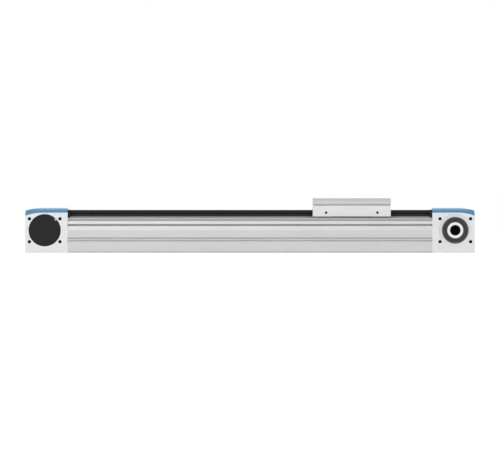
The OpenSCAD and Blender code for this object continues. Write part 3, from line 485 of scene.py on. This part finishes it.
def soft_rubber(name, colour, roughness):
    """Rubber with a dusty mottle."""
    s = Shader(name)
    grain = s.noise(s.place(), 2200, 4.0, 0.7)
    dust = s.noise(s.place(), 130, 4.0, 0.65)
    base = varied(s, colour, s.spread(grain), 0.15)
    s.set(
        Base_Color=s.mix(s.fit(dust, 0.55, 0.8, 0.0, 0.5), base, paler(colour, 2.2, 0.004)),
        Roughness=s.roughness(dust, roughness, 0.05, 0.08),
        Specular_IOR_Level=0.3,
    )
    s.bump(grain, 0.03 * MM, 0.5, 0.2 * MM)
    return s.material


def belt_rubber(name, colour):
    """The belt's back shows the faint ribs of its cords; its teeth are faced with a twill."""
    s = Shader(name)
    parts = s.coordinates()
    cords = s.math("SINE", s.math("MULTIPLY", parts["Y"], 2 * math.pi / CORD_SPACING))
    diagonal = s.math("ADD", parts["X"], s.math("ADD", parts["Y"], parts["Z"]))
    twill = s.math("SINE", s.math("MULTIPLY", diagonal, 2 * math.pi / TWILL_SPACING))
    grain = s.noise(s.place(), 2000, 3.0, 0.6)
    weave = s.math("ADD", s.math("MULTIPLY", twill, 0.25), grain)
    relief = s.math("ADD", s.math("MULTIPLY", cords, 0.5), weave)
    s.set(
        Base_Color=s.mix(s.fit(relief, -0.4, 1.6), colour, paler(colour, 1.9, 0.003)),
        Roughness=s.spread(grain, 0.5, 0.68),
        Specular_IOR_Level=0.3,
    )
    s.bump(relief, 0.02 * MM, 0.5)
    return s.material


def make_finishes(c, sizes):
    """Every finish of the axis: those of the record's slots, and three of its own."""
    return {
        "profile_aluminium": drawn_aluminium("Profile Aluminium", c.profile, 0.36),
        "cap_aluminium": blasted_aluminium("Cap Aluminium", c.cap, 0.48),
        "slide_aluminium": milled_aluminium("Slide Aluminium", c.slide, 0.42),
        "plate_aluminium": milled_aluminium("Plate Aluminium", c.plate, 0.38),
        "pulley_aluminium": turned_metal("Turned Aluminium", c.turned, 0.22, sizes.shaft_rim),
        "rail_steel": blackened_rail("Blackened Rail", c.rail, 0.42, c.rail_foot),
        "bearing_steel": turned_metal("Ground Steel", c.bearing, 0.20),
        "screw_steel": plain_metal("Plated Screw", c.screw, 0.30),
        "bronze": plain_metal("Bronze", c.bronze, 0.32),
        "brass_cage": plain_metal("Brass Cage", c.brass, 0.30),
        "blue_plastic": moulded_plastic("Blue Cover", c.cover, 0.38, 0.35, gloss=1.0),
        "black_plastic": moulded_plastic("Black Plastic", c.black_plastic, 0.48, 0.22, depth=0.12),
        "seal_rubber": soft_rubber("Seal Rubber", c.seal, 0.45),
        "buffer_rubber": soft_rubber("Buffer Rubber", c.rubber, 0.65),
        "belt_rubber": belt_rubber("Belt Rubber", c.rubber),
        "inner_ring": turned_metal("Inner Ring", c.inner_ring, 0.34),
        "outer_ring": turned_metal("Outer Ring In Painted Shade", c.outer_ring, 0.34),
        "thread": plain_metal("Oiled Thread In Painted Shade", c.thread, 0.42),
    }


# Nodes that are darker than the rest of their slot, and their finish; the outer rings are darker as
# painted shade of their recessed seat
DARKENED = {
    "drive_bearing_outer_rings": "outer_ring",
    "drive_bearing_inner_rings": "inner_ring",
    "return_bearing_outer_rings": "outer_ring",
    "return_bearing_inner_rings": "inner_ring",
    "lube_nipples": "thread",
}
# Filled by the first operator; the others take their finishes from it
FINISHES = {}


def wear(piece, finish):
    """Gives a piece this finish as its only material."""
    piece.data.materials.clear()
    piece.data.materials.append(FINISHES[finish])


class AXIS_OT_finishes(bpy.types.Operator):
    """Give every CAD node its finish"""

    bl_idname = "axis.finishes"
    bl_label = "Finishes"

    def execute(self, context):
        FINISHES.update(make_finishes(context.scene.axis_finishes, context.scene.axis_small_parts))
        for part in frame["record"]["subparts"]:
            finish = DARKENED.get(part["node"], part["material_slot"])
            for material_slot in frame["nodes"][part["node"]].material_slots:
                material_slot.material = FINISHES[finish]
        return {"FINISHED"}


# ---------- modelling ------------------


# Gap that keeps a piece's face off the CAD face behind it
SKIN = 0.01 * MM
# How far a piece's rim is set back past a CAD face
INSET = 0.02 * MM
# Thickness of a hole's liner at the root of its thread
THREAD_ROOT = 0.06 * MM
# Where the crest of a thread begins and ends, as parts of its pitch
CREST_FROM, CREST_TO = 0.42, 0.58
# Height of a blind hole's floor at its wall and at its middle
FLOOR_AT_WALL, FLOOR_AT_MIDDLE = 0.35 * MM, 0.3 * MM
# Radius of that floor, as a part of the thread's inner radius
FLOOR_RADIUS = 0.96
# Depth of a cassette lip's lower face, as a part of its upper one, and the rounding of its edges
LIP_TAPER = 0.35
LIP_ROUNDING = 0.06 * MM
# Widths of the seal's beads: the two at its edges and the one between them
EDGE_BEAD, MIDDLE_BEAD = 0.7 * MM, 0.5 * MM
# From the seal's outer edge to the middle of its outer bead, and from the inner ring to the beads
OUTER_BEAD_PLACE = 0.45 * MM
RING_GAP = 0.05 * MM
# Edges flatter than this are shaded smooth
SMOOTH_BELOW = math.radians(35)


def select_faces(wanted):
    """Selects the faces of the edited mesh for which wanted is true."""
    mesh = bmesh.from_edit_mesh(bpy.context.object.data)
    for part in (*mesh.verts, *mesh.edges, *mesh.faces):
        part.select = False
    for face in mesh.faces:
        if wanted(face):
            face.select_set(True)
    mesh.select_flush_mode()
    bmesh.update_edit_mesh(bpy.context.object.data)


def turned(name, outline, steps):
    """A closed outline of (radius, height) points, turned once round Z in edit mode."""
    bpy.ops.object.select_all(action="DESELECT")
    bpy.ops.mesh.primitive_plane_add(size=1, location=(0, 0, 0))
    piece = bpy.context.object
    piece.name = name
    bpy.ops.object.mode_set(mode="EDIT")
    bpy.ops.mesh.select_mode(type="VERT")
    bpy.ops.mesh.merge(type="CENTER")
    bpy.ops.transform.translate(value=(outline[0][0], 0, outline[0][1]))
    points = list(outline) + [outline[0]]
    for (r0, z0), (r1, z1) in zip(points, points[1:]):
        bpy.ops.mesh.extrude_region_move(TRANSFORM_OT_translate={"value": (r1 - r0, 0, z1 - z0)})
    bpy.ops.mesh.select_all(action="SELECT")
    bpy.ops.mesh.remove_doubles(threshold=1e-6)
    bpy.ops.mesh.spin(steps=steps, angle=2 * math.pi, center=(0, 0, 0), axis=(0, 0, 1))
    bpy.ops.mesh.select_all(action="SELECT")
    bpy.ops.mesh.remove_doubles(threshold=2e-6)
    bpy.ops.mesh.normals_make_consistent(inside=False)
    bpy.ops.object.mode_set(mode="OBJECT")
    bpy.ops.object.shade_smooth_by_angle(angle=SMOOTH_BELOW)
    return piece


def put_along(piece, place, axis):
    """Turns a piece from +Z to axis and moves it to place; its origin stays at the model's."""
    turn = Vector((0, 0, 1)).rotation_difference(Vector(axis)).to_matrix().to_4x4()
    piece.matrix_world = Matrix.Translation(place) @ turn
    bpy.ops.object.select_all(action="DESELECT")
    piece.select_set(True)
    bpy.context.view_layer.objects.active = piece
    bpy.ops.object.transform_apply(location=True, rotation=True, scale=True)


def copied(piece):
    """A copy with its own mesh."""
    bpy.ops.object.select_all(action="DESELECT")
    piece.select_set(True)
    bpy.context.view_layer.objects.active = piece
    bpy.ops.object.duplicate(linked=False)
    return bpy.context.object


def joined(name, pieces):
    """Several pieces made one object."""
    bpy.ops.object.select_all(action="DESELECT")
    for piece in pieces:
        piece.select_set(True)
    bpy.context.view_layer.objects.active = pieces[0]
    if len(pieces) > 1:
        bpy.ops.object.join()
    pieces[0].name = name
    return pieces[0]


def hole_places(mount):
    """Centres of a rectangular pattern of holes, on the plane that the record gives."""
    axis = Vector(mount["axis"])
    units = [Vector(unit) for unit in ((1, 0, 0), (0, 1, 0), (0, 0, 1))]
    across = [unit for unit in units if abs(axis.dot(unit)) < 0.5]
    first = across[0] * mount["dims"]["spacing_x_mm"] * MM / 2
    second = across[1] * mount["dims"]["spacing_y_mm"] * MM / 2
    return [Vector(mount["pos_m"]) + i * first + j * second for i in (-1, 1) for j in (-1, 1)]


def thread_liner(name, radius, depth, sizes, through):
    """The ridged wall of a tapped hole, mouth at z = 0; unless it goes through, with a floor."""
    pitch = sizes.thread_pitch
    wall = radius - SKIN
    root = wall - THREAD_ROOT
    crest = radius - sizes.thread_height
    turns = int(depth / pitch)
    lead = (depth - turns * pitch) / 2
    ridges = []
    for i in range(turns):
        top = -lead - i * pitch
        ridges += [(root, top), (crest, top - pitch * CREST_FROM), (crest, top - pitch * CREST_TO)]
    ridges.append((root, -lead - turns * pitch))
    if through:
        bottom, floor = -depth, []
    else:
        bottom = -depth + SKIN
        floor = [
            (crest * FLOOR_RADIUS, -depth + FLOOR_AT_WALL),
            (0, -depth + FLOOR_AT_MIDDLE),
            (0, bottom),
        ]
    return turned(name, [(wall, -INSET), *ridges, *floor, (wall, bottom)], steps=20)


class AXIS_OT_tapped_holes(bpy.types.Operator):
    """Model the threads of the tapped holes"""

    bl_idname = "axis.tapped_holes"
    bl_label = "Tapped Holes"

    def execute(self, context):
        sizes = context.scene.axis_small_parts
        plate = span("slide_top_plate")
        for name, mount in MOUNTS.items():
            if mount["kind"] != "bolt_pattern":
                continue
            through = name == "slide_holes"
            depth = sizes.foot_hole_depth if "foot" in name else sizes.cap_hole_depth
            if through:
                depth = mount["pos_m"][2] - plate[0].z
            radius = mount["dims"]["hole_r_mm"] * MM
            liner = thread_liner(name + "_thread", radius, depth, sizes, through)
            places = hole_places(mount)
            pieces = [copied(liner) for _ in places[1:]] + [liner]
            for piece, place in zip(pieces, places):
                put_along(piece, place, mount["axis"])
            row = joined(name + "_threads", pieces)
            # The threads' dark finish is partly oil and partly painted shade.
            wear(row, "thread")
            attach(row, "slide" if through else "frame")
        return {"FINISHED"}


def bar(name, low, high):
    """A bar between two corners, left in edit mode for shaping."""
    bpy.ops.object.select_all(action="DESELECT")
    bpy.ops.mesh.primitive_cube_add(size=1, location=(0, 0, 0))
    piece = bpy.context.object
    piece.name = name
    bpy.ops.object.mode_set(mode="EDIT")
    bpy.ops.mesh.select_all(action="SELECT")
    bpy.ops.transform.resize(value=high - low, center_override=(0, 0, 0))
    bpy.ops.transform.translate(value=(low + high) / 2)
    return piece


class AXIS_OT_cassette_lips(bpy.types.Operator):
    """Model the lips that close the gap between each ball cassette and the deck"""

    bl_idname = "axis.cassette_lips"
    bl_label = "Cassette Lips"

    def execute(self, context):
        sizes = context.scene.axis_small_parts
        skirt = span("slide_body")[1].y - INSET
        lips = []
        for side, node in ((-1, "front_ball_cassette"), (1, "rear_ball_cassette")):
            low, high = span(node)
            ends = sorted((side * skirt, side * (skirt - sizes.lip_width)))
            bottom = DECK + sizes.lip_gap
            lip = bar(
                node + "_lip",
                Vector((low.x - sizes.lip_overhang, ends[0], bottom)),
                Vector((high.x + sizes.lip_overhang, ends[1], bottom + sizes.lip_height)),
            )
            select_faces(lambda face: face.normal.z < -0.9)
            bpy.ops.transform.resize(value=(1, LIP_TAPER, 1), center_override=(0, side * skirt, 0))
            bpy.ops.mesh.select_all(action="SELECT")
            bpy.ops.mesh.bevel(offset=LIP_ROUNDING, segments=2, affect="EDGES")
            bpy.ops.object.mode_set(mode="OBJECT")
            bpy.ops.object.shade_smooth_by_angle(angle=SMOOTH_BELOW)
            lips.append(lip)
        pair = joined("cassette_lips", lips)
        wear(pair, "buffer_rubber")
        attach(pair, "slide")
        return {"FINISHED"}


class AXIS_OT_seal_beads(bpy.types.Operator):
    """Model the beads on the face of the open bearing's seal"""

    bl_idname = "axis.seal_beads"
    bl_label = "Seal Beads"

    def execute(self, context):
        sizes = context.scene.axis_small_parts
        low, high = span("drive_bearing_seals")
        outer = (high.z - low.z) / 2
        rings = span("drive_bearing_inner_rings")
        inner = (rings[1].z - rings[0].z) / 2 + RING_GAP
        outline = [(inner, -INSET)]
        for radius, width in (
            (inner + EDGE_BEAD / 2, EDGE_BEAD),
            ((inner + outer) / 2, MIDDLE_BEAD),
            (outer - OUTER_BEAD_PLACE, EDGE_BEAD),
        ):
            outline += [
                (radius - width / 2, SKIN), (radius - width / 4, sizes.bead_height),
                (radius + width / 4, sizes.bead_height), (radius + width / 2, SKIN),
            ]
        outline.append((outer - INSET, -INSET))
        beads = turned("drive_seal_beads", outline, steps=64)
        put_along(beads, (DRIVE_SHAFT.x, low.y, DRIVE_SHAFT.z), (0, -1, 0))
        wear(beads, "seal_rubber")
        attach(beads, "frame")
        return {"FINISHED"}


# ---------- studio ----------


FLOOR_SIDE = 40
FLOOR_COLOUR = (0.82, 0.82, 0.82, 1)
# The floor's own light, under the axis and from this distance outwards
FLOOR_LIFT_NEAR, FLOOR_LIFT_FAR, FLOOR_LIFT_REACH = 0.14, 0.72, 3.0
WHITE = (1, 1, 1, 1)
# Place, aim, and width and length of each softbox
OVERHEAD = ((0, 0, 2.2), (0, 0, 0), (3.0, 2.0))
FRONT = ((-1.4, -3.0, 1.4), (0, 0, 0.03), (2.0, 1.6))
SENSOR_WIDTH = 36
CLIP_END = 100


def softbox(name, place, aim, size, power):
    """A rectangular area lamp at place, turned to aim."""
    bpy.ops.object.light_add(type="AREA", location=place)
    lamp = bpy.context.object
    lamp.name = name
    lamp.data.shape = "RECTANGLE"
    lamp.data.size, lamp.data.size_y = size
    lamp.data.energy = power
    lamp.rotation_euler = (Vector(aim) - Vector(place)).to_track_quat("-Z", "Y").to_euler()


def seen_directly(tree):
    """1 for camera, glossy and transmission rays, 0 for the rest."""
    path = tree.nodes.new("ShaderNodeLightPath")
    total = path.outputs["Is Camera Ray"]
    for name in ("Is Glossy Ray", "Is Transmission Ray"):
        either = tree.nodes.new("ShaderNodeMath")
        either.operation = "MAXIMUM"
        tree.links.new(total, either.inputs[0])
        tree.links.new(path.outputs[name], either.inputs[1])
        total = either.outputs["Value"]
    return total


def white_world(ambient):
    """White where it is seen directly, and a light of this strength for the rest."""
    world = bpy.data.worlds.new("Studio")
    bpy.context.scene.world = world
    world.use_nodes = True
    tree = world.node_tree
    tree.nodes.clear()
    strength = tree.nodes.new("ShaderNodeMapRange")
    strength.inputs["To Min"].default_value = ambient
    strength.inputs["To Max"].default_value = 1.0
    tree.links.new(seen_directly(tree), strength.inputs["Value"])
    background = tree.nodes.new("ShaderNodeBackground")
    background.inputs["Color"].default_value = WHITE
    tree.links.new(strength.outputs["Result"], background.inputs["Strength"])
    output = tree.nodes.new("ShaderNodeOutputWorld")
    tree.links.new(background.outputs["Background"], output.inputs["Surface"])


def floor_material():
    """A matt pale floor, lifted to white where the lamps fall off, that keeps its shadows."""
    material = bpy.data.materials.new("Studio Floor")
    material.use_nodes = True
    tree = material.node_tree
    tree.nodes.clear()
    matt = tree.nodes.new("ShaderNodeBsdfDiffuse")
    matt.inputs["Color"].default_value = FLOOR_COLOUR
    lift = tree.nodes.new("ShaderNodeEmission")
    lift.inputs["Color"].default_value = WHITE
    source = tree.nodes.new("ShaderNodeTexCoord")
    away = tree.nodes.new("ShaderNodeVectorMath")
    away.operation = "LENGTH"
    tree.links.new(source.outputs["Object"], away.inputs[0])
    rising = tree.nodes.new("ShaderNodeMapRange")
    rising.inputs["From Max"].default_value = FLOOR_LIFT_REACH
    rising.inputs["To Min"].default_value = FLOOR_LIFT_NEAR
    rising.inputs["To Max"].default_value = FLOOR_LIFT_FAR
    tree.links.new(away.outputs["Value"], rising.inputs["Value"])
    strength = tree.nodes.new("ShaderNodeMath")
    strength.operation = "MULTIPLY"
    tree.links.new(seen_directly(tree), strength.inputs[0])
    tree.links.new(rising.outputs["Result"], strength.inputs[1])
    tree.links.new(strength.outputs["Value"], lift.inputs["Strength"])
    both = tree.nodes.new("ShaderNodeAddShader")
    tree.links.new(matt.outputs["BSDF"], both.inputs[0])
    tree.links.new(lift.outputs["Emission"], both.inputs[1])
    output = tree.nodes.new("ShaderNodeOutputMaterial")
    tree.links.new(both.outputs["Shader"], output.inputs["Surface"])
    return material


class AXIS_OT_studio(bpy.types.Operator):
    """Make the floor, the lamps and the camera"""

    bl_idname = "axis.studio"
    bl_label = "Studio"

    def execute(self, context):
        settings = context.scene.axis_studio
        white_world(settings.ambient)
        bpy.ops.mesh.primitive_plane_add(size=FLOOR_SIDE, location=(0, 0, 0))
        floor = context.object
        floor.name = "studio_floor"
        floor.data.materials.append(floor_material())
        softbox("Overhead", *OVERHEAD, settings.overhead)
        softbox("Front", *FRONT, settings.front)

        bpy.ops.object.camera_add(
            location=(0, -HALF_WIDTH - settings.distance, settings.eye_height),
            rotation=(math.pi / 2, 0, 0),
        )
        camera = context.object
        camera.name = "Camera"
        camera.data.sensor_width = SENSOR_WIDTH
        camera.data.lens = SENSOR_WIDTH * settings.distance / settings.framed_width
        camera.data.clip_end = CLIP_END
        context.scene.camera = camera
        context.scene.view_settings.view_transform = "Standard"
        return {"FINISHED"}


class AXIS_PT_panel(bpy.types.Panel):
    """Lists the pieces of the axis"""

    bl_idname = "AXIS_PT_panel"
    bl_label = "Linear Axis"
    bl_space_type = "VIEW_3D"
    bl_region_type = "UI"
    bl_category = "Linear Axis"

    def draw(self, context):
        for operator in PIECES:
            self.layout.operator(operator.bl_idname)
        scene = context.scene
        for group in (scene.axis_finishes, scene.axis_small_parts, scene.axis_studio):
            box = self.layout.box()
            for name in group.__annotations__:
                box.prop(group, name)


PIECES = (
    AXIS_OT_finishes,
    AXIS_OT_tapped_holes,
    AXIS_OT_cassette_lips,
    AXIS_OT_seal_beads,
    AXIS_OT_studio,
)
CLASSES = (AxisFinishes, SmallPartSizes, StudioSettings, *PIECES, AXIS_PT_panel)


def register():
    for cls in CLASSES:
        bpy.utils.register_class(cls)
    bpy.types.Scene.axis_finishes = bpy.props.PointerProperty(type=AxisFinishes)
    bpy.types.Scene.axis_small_parts = bpy.props.PointerProperty(type=SmallPartSizes)
    bpy.types.Scene.axis_studio = bpy.props.PointerProperty(type=StudioSettings)


def unregister():
    del bpy.types.Scene.axis_studio
    del bpy.types.Scene.axis_small_parts
    del bpy.types.Scene.axis_finishes
    for cls in reversed(CLASSES):
        bpy.utils.unregister_class(cls)


def main():
    register()
    bpy.ops.object.select_all(action="DESELECT")
    bpy.ops.axis.finishes()
    bpy.ops.axis.tapped_holes()
    bpy.ops.axis.cassette_lips()
    bpy.ops.axis.seal_beads()
    bpy.ops.axis.studio()


if __name__ == "__main__":
    main()
